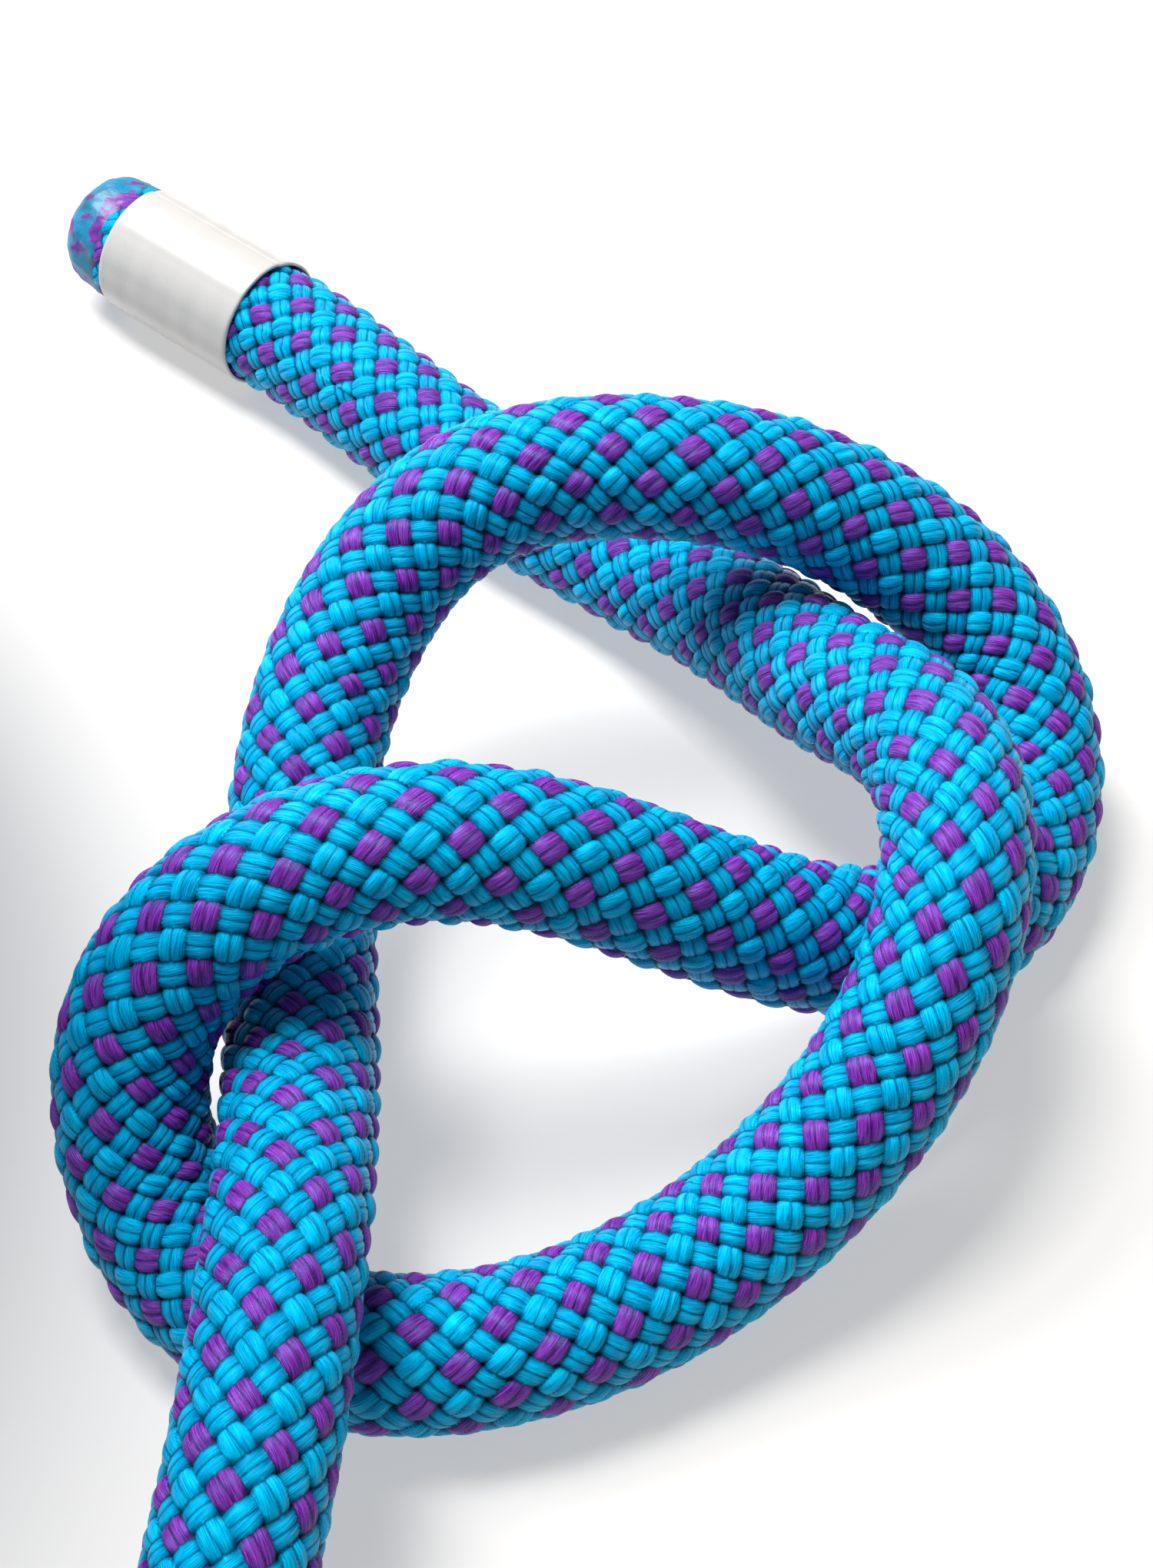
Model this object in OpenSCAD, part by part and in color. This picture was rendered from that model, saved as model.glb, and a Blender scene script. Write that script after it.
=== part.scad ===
// Dynamic climbing rope: a sheath over seven core strands, one end laid in a loose
// figure-eight knot, the rest wound into a round coil that three straps hold.
// +Z is up, the rope lies on Z = 0, and the origin is the middle of its footprint.

/* [Rope] */
// Diameter of the rope
rope_d = 9.8; // [9.4:0.1:10.2]
// Thickness of the woven sheath
sheath_wall = 0.9; // [0.7:0.1:1.2]
// Gap between core strands, and between them and the sheath
strand_gap = 0.12; // [0.1:0.01:0.2]

/* [Rope ends] */
// Length of the tape round each end of the rope
tape_len = 14.2; // [10:0.5:17]
// Thickness of the tape
tape_t = 0.3; // [0.2:0.05:0.5]
// Gap between the tape and the rope
tape_gap = 0.1; // [0.05:0.05:0.2]
// Length of the fused tip past the tape
tip_len = 5.5; // [4:0.5:7]
// Radius of the rounded rim of the fused tip
tip_round = 2.4; // [1.5:0.1:3]

/* [Coil] */
// Diameter of the outermost turn, along its middle
coil_d = 151; // [140:1:160]
// Turns on top of each other
coil_rows = 7; // [3:1:7]
// Turns beside each other
coil_cols = 4; // [3:1:4]
// Gap between neighbouring turns
turn_gap = 0.5; // [0.45:0.05:0.8]
// Gap between the turns and the filling under them
fill_gap = 0.5; // [0.3:0.1:1]
// Bend radius of the last bit of rope, inside the coil
tail_bend_r = 30; // [26:1:32]
// Angle of that bend
tail_bend_angle = 45; // [40:1:50]
// Distance of the coil's right side from the middle of the knot
coil_side = 44; // [44:1:60]

/* [Straps] */
// Number of straps round the coil
strap_count = 3; // [2:1:3]
// Width of a strap
strap_w = 16; // [10:1:20]
// Thickness of a strap
strap_t = 1.2; // [0.8:0.1:2]
// Gap between a strap and the turns
strap_gap = 0.3; // [0.3:0.1:0.8]
// Radius of a strap's corners, on the inside
strap_corner_r = 4; // [2:0.5:4.5]
// Direction of the first strap
strap_start = 60; // [50:1:70]

/* [Hidden] */

$fn = 64;
rope_r = rope_d / 2;
sheath_sides = 12;
strand_sides = 6;
turn_sides = 6;
rings_per_turn = 24;
rings_per_span = 2;
tail_rings = 4;

// The bore of the sheath is a polygon, so the strands fit its flat-to-flat width.
bore_r = rope_r - sheath_wall;
bore_flat_r = bore_r * cos(180 / sheath_sides);
strand_d = (2 * bore_flat_r - 4 * strand_gap) / 3;
strand_ring_r = strand_d + strand_gap;

// The straps run under the coil, which lies on them.
coil_lift = strap_t + strap_gap;
pitch = rope_d + turn_gap;
turn_r = coil_d / 2;
lead_y = -92;
coil_at = [-coil_side - turn_r - rope_r, lead_y + turn_r];
inner_turn_r = turn_r - (coil_cols - 1) * pitch;
coil_outer_r = turn_r + rope_r;
coil_inner_r = inner_turn_r - rope_r;
coil_h = (coil_rows - 1) * pitch + rope_d;

// Straight stub inside the tape of each end, with a little rope past the tape.
tape_set_back = 1;
stub_len = tape_len + tape_set_back;

// The taped end lies on its tape, which holds the rope a little off the floor.
end_lift = tape_gap + tape_t;

// Route of the knotted stretch: across, back, and lift off the floor. The first point only
// gives the direction of the taped end, which runs straight from the second.
route = [
    [-36.6, 52.4, end_lift], [-24.4, 43.8, end_lift], [-15.6, 34.9, end_lift],
    [-5.8, 25.2, end_lift], [3.9, 17.34, 0.65], [12.53, 7.45, 4.02], [17.63, -2.8, 8.72],
    [23.36, -12.33, 13.73], [23.7, -24.5, 13.3], [18.6, -34.7, 7], [8.5, -42.8, 1],
    [-4, -48.8, 0.2], [-16.4, -48.7, 0.2], [-25.4, -41.5, 1], [-27.5, -33.2, 9.7],
    [-20.5, -28, 17.7], [-8, -24.7, 19.3], [4.5, -23.8, 13.6], [16, -22, 5.5],
    [26.67, -16.4, 0.71], [31.74, -5.77, 1.66], [28.57, 4.3, 7.65], [17.52, 8.41, 14.99],
    [5.21, 7.99, 19], [-6.93, 6.35, 18.3], [-14.7, -0.3, 12.9], [-18.1, -11.2, 8.7],
    [-17.8, -23.5, 6], [-17.2, -36, 7], [-17, -48.2, 11.1], [-18.2, -63, 10.6],
    [-21.4, -75.6, 6.4], [-28.6, -85.8, 2.2], [-39.5, -91.2, 0.5], [-51, lead_y, 0.1],
    [-66, lead_y, 0.5], [coil_at[0] + 5 * rope_d, lead_y, coil_lift],
    [coil_at[0] + 3 * rope_d, lead_y, coil_lift], [coil_at[0] + rope_d, lead_y, coil_lift],
];
spans = len(route) - 1;

function unit(v) = v / norm(v);
function ease(x) = x * x * (3 - 2 * x);
function within(x, low, high) = min(max(x, low), high);
function spot(p) = [p[0], p[1], p[2] + rope_r];

// A point of the route by number, with more in line past each end.
function knot(i) =
    i < 0 ? spot(route[0]) + i * (spot(route[1]) - spot(route[0]))
    : i > spans ? spot(route[spans]) + (i - spans) * (spot(route[spans]) - spot(route[spans - 1]))
    : spot(route[i]);

// A cubic B-spline, pulled outwards by a sixth of each bend so that it passes the points.
function hold(i) = knot(i) - (knot(i - 1) - 2 * knot(i) + knot(i + 1)) / 6;
function smooth_at(i, t) =
    (hold(i - 1) * (1 - t) ^ 3 + hold(i) * (3 * t ^ 3 - 6 * t ^ 2 + 4)
    + hold(i + 1) * (1 + 3 * t + 3 * t ^ 2 - 3 * t ^ 3) + hold(i + 2) * t ^ 3) / 6;
function smooth_way(i, t) =
    unit(hold(i + 1) * (1 + 2 * t - 3 * t ^ 2) - hold(i) * (4 * t - 3 * t ^ 2)
    - hold(i - 1) * (1 - t) ^ 2 + hold(i + 2) * t ^ 2);

knot_end_way = -smooth_way(1, 0);
knot_end_at = smooth_at(1, 0) + stub_len * knot_end_way;

// Stations along the knotted stretch: each is a place and the direction of the rope there.
knot_line = concat(
    [[knot_end_at, -knot_end_way]],
    [for (i = [1 : spans - 1], s = [0 : rings_per_span - 1])
        [smooth_at(i, s / rings_per_span), smooth_way(i, s / rings_per_span)]],
    [[knot(spans), unit(knot(spans) - knot(spans - 1))]]
);

// The coil goes up its outer side, in across its top and down its inner side. Every turn
// climbs or drops in its second half and moves inwards in its first, so turns never meet.
rise_turns = coil_rows - 1;
drop_from = coil_rows + coil_cols - 3;
coil_turn_count = drop_from + rise_turns;
function cols_in(half) = within(ceil((half - 2 * rise_turns) / 2), 0, coil_cols - 1);
function rows_up(half) =
    within(floor(half / 2), 0, rise_turns) - within(floor((half - 2 * drop_from) / 2), 0, rise_turns);
function between(a, b, x) = a + (b - a) * ease(x);
function coil_spot(angle) =
    let (
        half = floor(angle / 180),
        x = angle / 180 - half,
        r = turn_r - pitch * between(cols_in(half), cols_in(half + 1), x),
        z = coil_lift + rope_r + pitch * between(rows_up(half), rows_up(half + 1), x)
    )
    [coil_at[0] + r * cos(-90 - angle), coil_at[1] + r * sin(-90 - angle), z];
function coil_way(angle) = [cos(180 - angle), sin(180 - angle), 0];

coil_start = coil_spot(0) + [rope_d, 0, 0];
coil_last = coil_spot(360 * coil_turn_count);
tail_middle = coil_last + [0, tail_bend_r, 0];
function tail_spot(angle) = tail_middle + tail_bend_r * [cos(-90 - angle), sin(-90 - angle), 0];
coil_end_way = coil_way(tail_bend_angle);
coil_end_at = tail_spot(tail_bend_angle) + stub_len * coil_end_way;

coil_line = concat(
    [[coil_start, coil_way(0)]],
    [for (k = [0 : coil_turn_count * rings_per_turn - 1])
        let (angle = 360 * k / rings_per_turn)
        [coil_spot(angle), coil_way(angle)]],
    [for (k = [0 : tail_rings])
        let (angle = tail_bend_angle * k / tail_rings)
        [tail_spot(angle), coil_way(angle)]],
    [[coil_end_at, coil_end_way]]
);

// Middle of the footprint, which the whole rope is moved back by.
function lows(line, k) = min([for (s = line) s[0][k]]) - rope_r;
function highs(line, k) = max([for (s = line) s[0][k]]) + rope_r;
strap_reach = coil_outer_r + strap_gap + strap_t;
knot_tip_at = knot_end_at + (tip_len - tape_set_back) * knot_end_way;
footprint_low = [coil_at[0] - strap_reach, lows(coil_line, 1)];
footprint_high = [highs(knot_line, 0), max(highs(coil_line, 1), knot_tip_at[1])];
shift = -[footprint_low[0] + footprint_high[0], footprint_low[1] + footprint_high[1], 0] / 2;

// One ring of a swept tube: sides points round a place, off_at out from the rope's middle.
function ring(station, r, sides, off_at = 0, off_turn = 0) =
    let (
        across = unit(cross(station[1], [0, 0, 1])),
        up = cross(across, station[1]),
        middle = station[0] + off_at * (across * cos(off_turn) + up * sin(off_turn))
    )
    [for (k = [0 : sides - 1])
        let (a = 360 * k / sides)
        middle + r * (across * cos(a) + up * sin(a))];
function skin(rings, sides, first = 0, inward = false) = [
    for (i = [0 : rings - 2], k = [0 : sides - 1])
        let (
            a = first + i * sides + k,
            b = first + i * sides + (k + 1) % sides,
            c = b + sides,
            d = a + sides
        )
        each (inward ? [[a, c, b], [a, d, c]] : [[a, b, c], [a, c, d]])
];
function cap(first, sides, end) = [
    for (k = [1 : sides - 2])
        end ? [first, first + k, first + k + 1] : [first, first + k + 1, first + k]
];

module rod(line, r, sides, off_at = 0, off_turn = 0) {
    n = len(line);
    polyhedron(
        points = [for (s = line) each ring(s, r, sides, off_at, off_turn)],
        faces = concat(skin(n, sides), cap(0, sides, false), cap((n - 1) * sides, sides, true))
    );
}

module hose(line, r, bore, sides) {
    n = len(line);
    inside = n * sides;
    last = inside - sides;
    rims = [
        for (k = [0 : sides - 1])
            let (m = (k + 1) % sides)
            each [
                [k, inside + m, m], [k, inside + k, inside + m],
                [last + k, last + m, inside + last + m], [last + k, inside + last + m, inside + last + k]
            ]
    ];
    polyhedron(
        points = concat(
            [for (s = line) each ring(s, r, sides)],
            [for (s = line) each ring(s, bore, sides)]
        ),
        faces = concat(skin(n, sides), skin(n, sides, inside, true), rims)
    );
}

// Stands children at a place with their Z axis along a level direction.
module aim(at, way) {
    translate(at)
        rotate([0, 90, atan2(way[1], way[0])])
            children();
}

module sheath() {
    color("deepskyblue")
        translate(shift)
            hose(knot_line, rope_r, bore_r, sheath_sides);
}

module core_strand(i) {
    middle_one = i == 7;
    color("white")
        translate(shift)
            rod(knot_line, strand_d / 2, strand_sides, middle_one ? 0 : strand_ring_r, 60 * i);
}

module end_tape(at, way) {
    color("white")
        translate(shift)
            aim(at - stub_len * way, way)
                difference() {
                    cylinder(r = rope_r + tape_gap + tape_t, h = tape_len);
                    translate([0, 0, -1])
                        cylinder(r = rope_r + tape_gap, h = tape_len + 2);
                }
}

module end_tip(at, way) {
    tip_h = tip_len - tape_set_back;
    color("teal")
        translate(shift)
            aim(at, way)
                rotate_extrude() {
                    square([rope_r, tip_h - tip_round]);
                    square([rope_r - tip_round, tip_h]);
                    intersection() {
                        translate([rope_r - tip_round, tip_h - tip_round])
                            circle(r = tip_round);
                        square([rope_r, tip_h]);
                    }
                }
}

module coil_turns() {
    color("darkturquoise")
        translate(shift)
            rod(coil_line, rope_r, turn_sides);
}

// Fills the space of the turns that lie hidden inside the coil.
module coil_filling() {
    fill_outer_r = coil_outer_r - rope_d - fill_gap;
    fill_inner_r = coil_inner_r + rope_d + fill_gap;
    fill_h = coil_h - rope_d - fill_gap;
    color("steelblue")
        translate(shift + [coil_at[0], coil_at[1], coil_lift])
            difference() {
                cylinder(r = fill_outer_r, h = fill_h);
                translate([0, 0, -1])
                    cylinder(r = fill_inner_r, h = fill_h + 2);
            }
}

module rounded_box(w, h, r) {
    translate([r, 0])
        square([w - 2 * r, h]);
    translate([0, r])
        square([w, h - 2 * r]);
    for (x = [r, w - r], y = [r, h - r])
        translate([x, y])
            circle(r = r);
}

module strap(i) {
    bore_w = coil_outer_r - coil_inner_r + 2 * strap_gap;
    bore_h = coil_h + 2 * strap_gap;
    color("dimgray")
        translate(shift + [coil_at[0], coil_at[1], 0])
            rotate([0, 0, strap_start + 360 / strap_count * (i - 1)])
                translate([coil_inner_r - strap_gap - strap_t, strap_w / 2, 0])
                    rotate([90, 0, 0])
                        linear_extrude(strap_w)
                            difference() {
                                rounded_box(bore_w + 2 * strap_t, bore_h + 2 * strap_t, strap_corner_r + strap_t);
                                translate([strap_t, strap_t])
                                    rounded_box(bore_w, bore_h, strap_corner_r);
                            }
}

// Least gap of a line of rope to itself, between stations further apart than a half turn.
function least_gap(line, apart) =
    min([
        for (i = [0 : len(line) - 1 - apart])
            min([for (j = [i + apart : len(line) - 1]) norm(line[i][0] - line[j][0])])
    ]) - rope_d;
echo(coil_least_gap = least_gap(coil_line, rings_per_turn / 2));
echo(knot_least_gap = least_gap(knot_line, 5));

sheath();
for (i = [1 : 7])
    core_strand(i);
end_tape(knot_end_at, knot_end_way);  // knot_end_tape
end_tip(knot_end_at, knot_end_way);  // knot_end_tip
coil_turns();
coil_filling();
end_tape(coil_end_at, coil_end_way);  // coil_end_tape
end_tip(coil_end_at, coil_end_way);  // coil_end_tip
for (i = [1 : strap_count])
    strap(i);
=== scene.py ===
# %% [markdown]
# # A climbing rope with a figure-eight knot
# A kernmantle rope is a woven sheath over a core of straight strands. This lesson builds the
# sheath as real relief, yarn by yarn, from one formula, and lets a material read the same
# formula for its colours. Everything is in metres and in the frame of the rope's solid model.

# %% Load the solid model
import math

import bpy
import numpy as np
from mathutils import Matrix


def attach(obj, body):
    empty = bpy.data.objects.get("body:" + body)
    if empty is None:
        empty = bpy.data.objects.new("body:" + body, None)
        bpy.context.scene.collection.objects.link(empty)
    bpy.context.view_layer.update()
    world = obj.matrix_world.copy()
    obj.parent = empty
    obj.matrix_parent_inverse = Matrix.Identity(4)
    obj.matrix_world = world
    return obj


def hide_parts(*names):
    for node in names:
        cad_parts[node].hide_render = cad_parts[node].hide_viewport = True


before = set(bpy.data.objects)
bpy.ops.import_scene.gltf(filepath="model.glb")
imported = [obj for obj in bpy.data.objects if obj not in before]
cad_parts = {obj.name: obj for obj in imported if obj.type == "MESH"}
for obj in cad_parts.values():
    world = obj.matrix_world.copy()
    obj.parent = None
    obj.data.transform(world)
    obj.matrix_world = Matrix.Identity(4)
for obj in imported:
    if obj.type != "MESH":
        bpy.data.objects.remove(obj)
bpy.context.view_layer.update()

# %% [markdown]
# ## Measures
# A maker sizes a rope by its diameter and by its braid: how many yarn pairs (carriers) go
# round each way, and how far along the rope one carrier travels in a full turn (the lead).
# The cells of the weave follow from these two numbers.

# %% The rope's measures
MM = 0.001
ROPE_MM = 9.8
ROPE_D = ROPE_MM * MM
ROPE_R = ROPE_D / 2
CARRIERS = 12
LEAD = 29.4 * MM
CELL = LEAD / CARRIERS
TAPE_LEN = 14.2 * MM
TAPE_SET_BACK = 1 * MM
TIP_LEN = 5.5 * MM
CAP_LEN = TIP_LEN - TAPE_SET_BACK
STUB_LEN = TAPE_LEN + TAPE_SET_BACK
print("braid cell:", round(CELL / MM, 2), "mm long")

# %% [markdown]
# ## The camera
# The view looks down at about fifty degrees with a long lens, so the rope's far end is only
# slightly smaller than its near end. The camera comes first, because the rest of the rope has
# to be put away where this view doesn't reach.

# %% The camera
KNOT_AT = np.array([84.8717, 16.5, 0]) * MM
VIEW_TILT = math.radians(50)
VIEW_HEIGHT = 170.7 * MM
VIEW_BACK = VIEW_HEIGHT / math.tan(VIEW_TILT)
LENS_MM = 70.6

camera_data = bpy.data.cameras.new("view_camera")
camera = bpy.data.objects.new("view_camera", camera_data)
bpy.context.scene.collection.objects.link(camera)
camera.location = KNOT_AT + [0, -VIEW_BACK, VIEW_HEIGHT]
camera.rotation_euler = (math.pi / 2 - VIEW_TILT, 0, 0)
camera_data.sensor_fit = "VERTICAL"
camera_data.sensor_height = 36
camera_data.lens = LENS_MM
camera_data.clip_start = 0.01
bpy.context.scene.camera = camera
print("camera", round(VIEW_HEIGHT, 3), "m above the floor")

# %% [markdown]
# ## The rope's route
# Rope is stiff enough to bridge from one crossing to the next, so the route has a height as
# well as a plan. A handful of listed points carry it, and a cubic B-spline runs through them:
# its curvature changes smoothly, as a bent rope's does. A Bezier curve drawn by hand could do
# it too, but its bend jumps at every handle, and a braid shows that at once. Each point is
# across, back and lift.

# %% The route of the knotted stretch
END_LIFT = 0.4
LEAD_Y = -92
COIL_LIFT = 1.5
COIL_AT = (-124.4, -16.5)
ROUTE = [
    (-36.6, 52.4, END_LIFT), (-24.4, 43.8, END_LIFT), (-15.6, 34.9, END_LIFT),
    (-5.8, 25.2, END_LIFT), (3.9, 17.34, 0.65), (12.53, 7.45, 4.02), (17.63, -2.8, 8.72),
    (23.36, -12.33, 13.73), (23.7, -24.5, 13.3), (18.6, -34.7, 7), (8.5, -42.8, 1),
    (-4, -48.8, 0.2), (-16.4, -48.7, 0.2), (-25.4, -41.5, 1), (-27.5, -33.2, 9.7),
    (-20.5, -28, 17.7), (-8, -24.7, 19.3), (4.5, -23.8, 13.6), (16, -22, 5.5),
    (26.67, -16.4, 0.71), (31.74, -5.77, 1.66), (28.57, 4.3, 7.65), (17.52, 8.41, 14.99),
    (5.21, 7.99, 19), (-6.93, 6.35, 18.3), (-14.7, -0.3, 12.9), (-18.1, -11.2, 8.7),
    (-17.8, -23.5, 6), (-17.2, -36, 7), (-17, -48.2, 11.1), (-18.2, -63, 10.6),
    (-21.4, -75.6, 6.4), (-28.6, -85.8, 2.2), (-39.5, -91.2, 0.5), (-51, LEAD_Y, 0.1),
    (-66, LEAD_Y, 0.5), (COIL_AT[0] + 5 * ROPE_MM, LEAD_Y, COIL_LIFT),
    (COIL_AT[0] + 3 * ROPE_MM, LEAD_Y, COIL_LIFT), (COIL_AT[0] + ROPE_MM, LEAD_Y, COIL_LIFT),
]
LINE_STEP = 0.6 * MM
SPAN_PIECES = 60


def held_points(points):
    """Route points pulled outwards so that the B-spline passes through them, two past each end."""
    first, last = points[0], points[-1]
    before = [first + k * (points[1] - first) for k in (-3, -2, -1)]
    after = [last + k * (last - points[-2]) for k in (1, 2, 3)]
    p = np.vstack([before, points, after])
    return p[1:-1] - (p[:-2] - 2 * p[1:-1] + p[2:]) / 6


def spline(held, i, t):
    """Points of the B-spline from route point i to i + 1, at each t from 0 to 1."""
    a, b, c, d = held[i + 1], held[i + 2], held[i + 3], held[i + 4]
    t = t[:, None]
    return (a * (1 - t) ** 3 + b * (3 * t**3 - 6 * t**2 + 4)
            + c * (1 + 3 * t + 3 * t**2 - 3 * t**3) + d * t**3) / 6


def unit(v):
    return v / np.linalg.norm(v, axis=-1, keepdims=True)


def evenly(line, step=LINE_STEP, count=None):
    """The same line with equally spaced points, either about a step apart or so many."""
    far = np.concatenate([[0], np.cumsum(np.linalg.norm(np.diff(line, axis=0), axis=1))])
    at = np.linspace(0, far[-1], count or round(far[-1] / step) + 1)
    return np.stack([np.interp(at, far, line[:, k]) for k in range(3)], 1), far[-1]


route = np.array(ROUTE) * MM + KNOT_AT + [0, 0, ROPE_R]
held = held_points(route)
spans = len(route) - 1
fine = np.linspace(0, 1, SPAN_PIECES, endpoint=False)
bends = np.vstack([spline(held, i, fine) for i in range(1, spans)] + [route[-1:]])
knot_way = unit(bends[0] - bends[1])
knot_way[2] = 0
knot_end = bends[0] + STUB_LEN * knot_way
stub = knot_end + fine[:, None] * (bends[0] - knot_end)
knot_line = np.vstack([stub, bends])
print("knotted stretch:", round(evenly(knot_line, LINE_STEP)[1], 4), "m")

# %% [markdown]
# ## The coil
# The rest of the rope is wound up the coil's outer side, then down beside it, four columns
# deep. A plain helix would only make one layer of it. Here a turn moves inwards in its first
# half and climbs in its second, so that no two turns ever meet, in any layer. The last bit
# bends away inside the coil and ends straight.

# %% The route of the coil
COIL_D = 151
ROWS, COLS = 7, 4
PITCH = 10.3
TAIL_BEND_R = 30
TAIL_BEND_DEG = 45
TAIL_PIECES = 40
CLIMBS = ROWS - 1
TURNS = CLIMBS * COLS


def eased(x):
    return x * x * (3 - 2 * x)


def col_of(half):
    return np.clip(np.ceil(half / (2 * CLIMBS)) - 1, 0, COLS - 1)


def row_of(half):
    climbed = np.floor(half / 2)
    return CLIMBS - np.abs(CLIMBS - np.mod(climbed, 2 * CLIMBS))


def coil_points(angle):
    """Places in the coil, angle in degrees wound from where the rope joins it."""
    half = np.floor(angle / 180)
    x = eased(angle / 180 - half)
    col = col_of(half) * (1 - x) + col_of(half + 1) * x
    row = row_of(half) * (1 - x) + row_of(half + 1) * x
    r = COIL_D / 2 - PITCH * col
    turn = np.radians(-90 - angle)
    z = COIL_LIFT + ROPE_MM / 2 + PITCH * row
    return np.stack([COIL_AT[0] + r * np.cos(turn), COIL_AT[1] + r * np.sin(turn), z], -1)


wound = coil_points(np.arange(0, 360 * TURNS, 1.0))
last = coil_points(np.array([360.0 * TURNS]))[0]
bend = np.radians(np.linspace(0, TAIL_BEND_DEG, TAIL_PIECES))
tail = last + TAIL_BEND_R * np.stack([-np.sin(bend), 1 - np.cos(bend), 0 * bend], 1)
tail_way = np.array([-math.cos(bend[-1]), math.sin(bend[-1]), 0])
tail_end = tail[-1] + STUB_LEN / MM * tail_way
tail_stub = np.linspace(tail[-1], tail_end, TAIL_PIECES)[1:]
coil_start = coil_points(np.array([0.0]))[0] + [ROPE_MM, 0, 0]
coil_lead = np.linspace(coil_start, wound[0], 20)[:-1]
coil_line = np.vstack([coil_lead, wound, tail, tail_stub]) * MM + KNOT_AT
coil_line, coil_length = evenly(coil_line, LINE_STEP)
print("coil:", TURNS, "turns,", round(coil_length, 3), "m")

# %% [markdown]
# ## The braid as a height field
# Two coordinates run over the rope's skin: `a` counts the strands that lean one way, `b` those
# that lean the other. A strand of the first kind rises over the second wherever
# `(-1)^i sin(pi b)` is positive, which is the plain over-one under-one weave of a rope sheath.
# Every strand is a pair of yarns side by side, so its cross-section is a plump dome with a
# crease down its middle. Whichever strand stands higher is the one that shows, with a groove
# where two meet and a small hole where four do. On this rope the first set stands a little
# prouder than the second. Every other strand of it is a coloured tracer, pulled a little
# tighter, so it shows narrower than its neighbours. The yarns could be swept one by one
# instead, but they would cut through each other, and most of their mesh would stay hidden.

# %% The height of the weave
WAVE_MM = (0.25, 0.21)
YARN_MM = (0.36, 0.27)
PROUD_MM = 0.05
TRACER_LOW_MM = 0.05
FLAT_TOP = 0.75
DOME_POWER = 2.4
CREASE_DEPTH, CREASE_WIDTH = 0.26, 0.045
GROOVE_MM, GROOVE_WIDTH_MM = 0.09, 0.07
SHADE_WIDTH_MM = 0.14
HOLE_MM, HOLE_SIZE = 0.12, 0.1
SWELL_MM = 0.1
SINK_MM = 0.47


def strand_wave(number, other):
    """How far a strand is over (1) or under (-1) where it crosses the other set."""
    w = np.where(np.mod(number, 2) < 1, 1, -1) * np.sin(np.pi * other)
    return np.sign(w) * np.abs(w) ** FLAT_TOP


def strand_dome(across):
    """The section of a strand: a plump dome with the crease between its two yarns."""
    u = 2 * np.mod(across, 1) - 1
    crease = CREASE_DEPTH * np.exp(-((u / (2 * CREASE_WIDTH)) ** 2))
    return np.sqrt(np.maximum(1 - np.abs(u) ** DOME_POWER, 0)) - crease


def weave_height(a, b):
    """Height of the weave over the rope's mean radius, in millimetres."""
    over = WAVE_MM[0] * strand_wave(np.floor(a), b) + YARN_MM[0] * strand_dome(a) + PROUD_MM
    over = over - TRACER_LOW_MM * (np.mod(np.floor(a), 2) < 1)
    under = -WAVE_MM[1] * strand_wave(np.floor(b), a) + YARN_MM[1] * strand_dome(b)
    groove = GROOVE_MM * np.exp(-(((over - under) / GROOVE_WIDTH_MM) ** 2))
    hole = HOLE_MM * np.exp(-(np.sin(np.pi * a) ** 2 + np.sin(np.pi * b) ** 2) / HOLE_SIZE)
    # A number from -0.5 to 0.5 that is each cell's own, and the same in every run.
    luck = np.mod(np.sin(12.9898 * np.floor(a) + 78.233 * np.floor(b)) * 437.58, 1) - 0.5
    swell = SWELL_MM * luck * np.abs(np.sin(np.pi * a) * np.sin(np.pi * b))
    return np.maximum(over, under) - groove - hole + swell - SINK_MM


sample = np.random.default_rng(3).uniform(0, 12, (2, 4000))
heights = weave_height(*sample)
print("weave stands", round(heights.min(), 2), "to", round(heights.max(), 2), "mm")

# %% [markdown]
# ## Sweeping the skin along the route
# A ring of the skin has to stay square to the route without twisting about it, or the braid
# would shear. A curve's bevel does the same, but gives no say over each corner's height. So
# each ring's frame is carried over from the one before by the smallest turn (a
# parallel-transport frame), and the weave's coordinates go into a UV map for the material.

# %% The swept sheath
def carried_frames(line, from_last=False):
    """A side and an up direction for each point, carried from one end of the line."""
    way = unit(np.gradient(line, axis=0))
    side = np.zeros_like(line)
    order = range(len(line))
    if from_last:
        order = reversed(order)
    v = None
    for i in order:
        v = np.cross(way[i], [0, 0, 1]) if v is None else v
        v = unit(v - way[i] * (v @ way[i]))
        side[i] = v
    return side, np.cross(way, side)


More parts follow.
